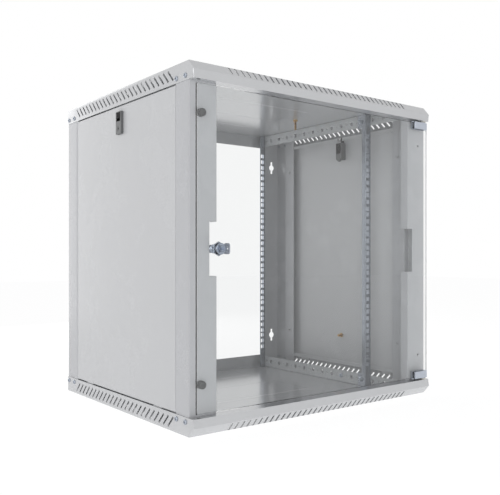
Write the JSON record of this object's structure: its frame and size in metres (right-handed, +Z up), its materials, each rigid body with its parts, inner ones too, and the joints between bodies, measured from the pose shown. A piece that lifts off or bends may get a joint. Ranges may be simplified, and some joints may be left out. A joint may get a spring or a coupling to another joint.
{
  "type": "wall mount network cabinet",
  "caption": "Shallow steel wall cabinet for 19-inch network equipment, with a hinged glass door, latched side panels, vented caps and adjustable square-hole rails.",
  "frame": {"origin": "centre of the casing's footprint, on the underside that it can stand on", "axes": "+Z up, +Y towards the wall, so the glass door faces -Y, +X to the right seen from the front"},
  "size_m": [0.6092, 0.5778, 0.635],
  "materials": {
    "casing_paint": "fine textured light grey powder coat",
    "panel_paint": "fine textured light grey powder coat",
    "bracket_paint": "light grey powder coat",
    "rail_zinc": "bluish zinc plate, satin",
    "fastener_zinc": "bright zinc plate",
    "stud_brass": "plain turned brass",
    "bush_nylon": "natural nylon",
    "buffer_rubber": "matt black rubber",
    "pad_rubber": "matt black rubber",
    "door_glass": "clear toughened glass, polished edges",
    "hinge_metal": "grey lacquered die-cast zinc",
    "pin_steel": "ground steel",
    "lock_chrome": "polished chrome plate",
    "key_nickel": "satin nickel plate",
    "latch_plastic": "moulded black plastic",
    "latch_button_plastic": "moulded black plastic"
  },
  "bodies": {
    "cabinet": {"top_cap": "casing_paint", "bottom_cap": "casing_paint", "top_fan_cover": "casing_paint", "top_cable_cover": "casing_paint", "bottom_fan_cover": "casing_paint", "bottom_cable_cover": "casing_paint", "front_right_post": "casing_paint", "front_left_post": "casing_paint", "rear_right_post": "casing_paint", "rear_left_post": "casing_paint", "front_right_rail": "rail_zinc", "front_left_rail": "rail_zinc", "rear_right_rail": "rail_zinc", "rear_left_rail": "rail_zinc", "top_right_bracket": "bracket_paint", "top_left_bracket": "bracket_paint", "bottom_right_bracket": "bracket_paint", "bottom_left_bracket": "bracket_paint", "cap_screws": "fastener_zinc", "rail_bolts": "fastener_zinc", "rail_nuts": "fastener_zinc", "cap_earth_stud": "stud_brass", "hinge_bushes": "bush_nylon", "door_buffers": "buffer_rubber"},
    "door": {"door_glass": "door_glass", "top_hinge_front": "hinge_metal", "bottom_hinge_front": "hinge_metal", "top_hinge_back": "hinge_metal", "bottom_hinge_back": "hinge_metal", "hinge_pins": "pin_steel", "hinge_pads": "pad_rubber", "lock_body": "lock_chrome", "lock_washer": "lock_chrome", "lock_nut": "lock_chrome"},
    "lock_cylinder": {"lock_plug": "lock_chrome", "lock_cam": "fastener_zinc", "cam_screw": "fastener_zinc"},
    "key": {"key": "key_nickel"},
    "right_panel": {"right_side_panel": "panel_paint", "right_latch_case": "latch_plastic", "right_latch_spring": "pin_steel", "right_panel_earth_stud": "stud_brass"},
    "right_latch_slider": {"right_latch_button": "latch_button_plastic", "right_latch_bolt": "latch_button_plastic"},
    "right_latch_key": {"right_latch_key_plug": "lock_chrome"},
    "left_panel": {"left_side_panel": "panel_paint", "left_latch_case": "latch_plastic", "left_latch_spring": "pin_steel", "left_panel_earth_stud": "stud_brass"},
    "left_latch_slider": {"left_latch_button": "latch_button_plastic", "left_latch_bolt": "latch_button_plastic"},
    "left_latch_key": {"left_latch_key_plug": "lock_chrome"}
  },
  "joints": [
    {"name": "door_swing", "type": "hinge", "parent": "cabinet", "child": "door", "pos_m": [0.2865, -0.269, 0.3175], "axis": [0, 0, 1], "range_deg": [0, 135]},
    {"name": "lock_turn", "type": "hinge", "parent": "door", "child": "lock_cylinder", "pos_m": [-0.2464, -0.25, 0.3175], "axis": [0, -1, 0], "range_deg": [0, 90]},
    {"name": "key_slide", "type": "slide", "parent": "lock_cylinder", "child": "key", "axis": [0, -1, 0], "range_m": [0, 0.03]},
    {"name": "right_panel_tilt", "type": "hinge", "parent": "cabinet", "child": "right_panel", "pos_m": [0.2853, 0.00325, 0.0345], "axis": [0, 1, 0], "range_deg": [0, 15]},
    {"name": "right_latch_slide", "type": "slide", "parent": "right_panel", "child": "right_latch_slider", "axis": [0, 0, -1], "range_m": [0, 0.005], "stiffness_N_per_m": 300, "springref_m": -0.009, "deforming": ["right_latch_spring"]},
    {"name": "right_latch_key_turn", "type": "hinge", "parent": "right_panel", "child": "right_latch_key", "pos_m": [0.304, 0.00325, 0.5555], "axis": [1, 0, 0], "range_deg": [0, 90]},
    {"name": "left_panel_tilt", "type": "hinge", "parent": "cabinet", "child": "left_panel", "pos_m": [-0.2853, 0.00325, 0.0345], "axis": [0, -1, 0], "range_deg": [0, 15]},
    {"name": "left_latch_slide", "type": "slide", "parent": "left_panel", "child": "left_latch_slider", "axis": [0, 0, -1], "range_m": [0, 0.005], "stiffness_N_per_m": 300, "springref_m": -0.009, "deforming": ["left_latch_spring"]},
    {"name": "left_latch_key_turn", "type": "hinge", "parent": "left_panel", "child": "left_latch_key", "pos_m": [-0.304, 0.00325, 0.5555], "axis": [-1, 0, 0], "range_deg": [0, 90]}
  ]
}
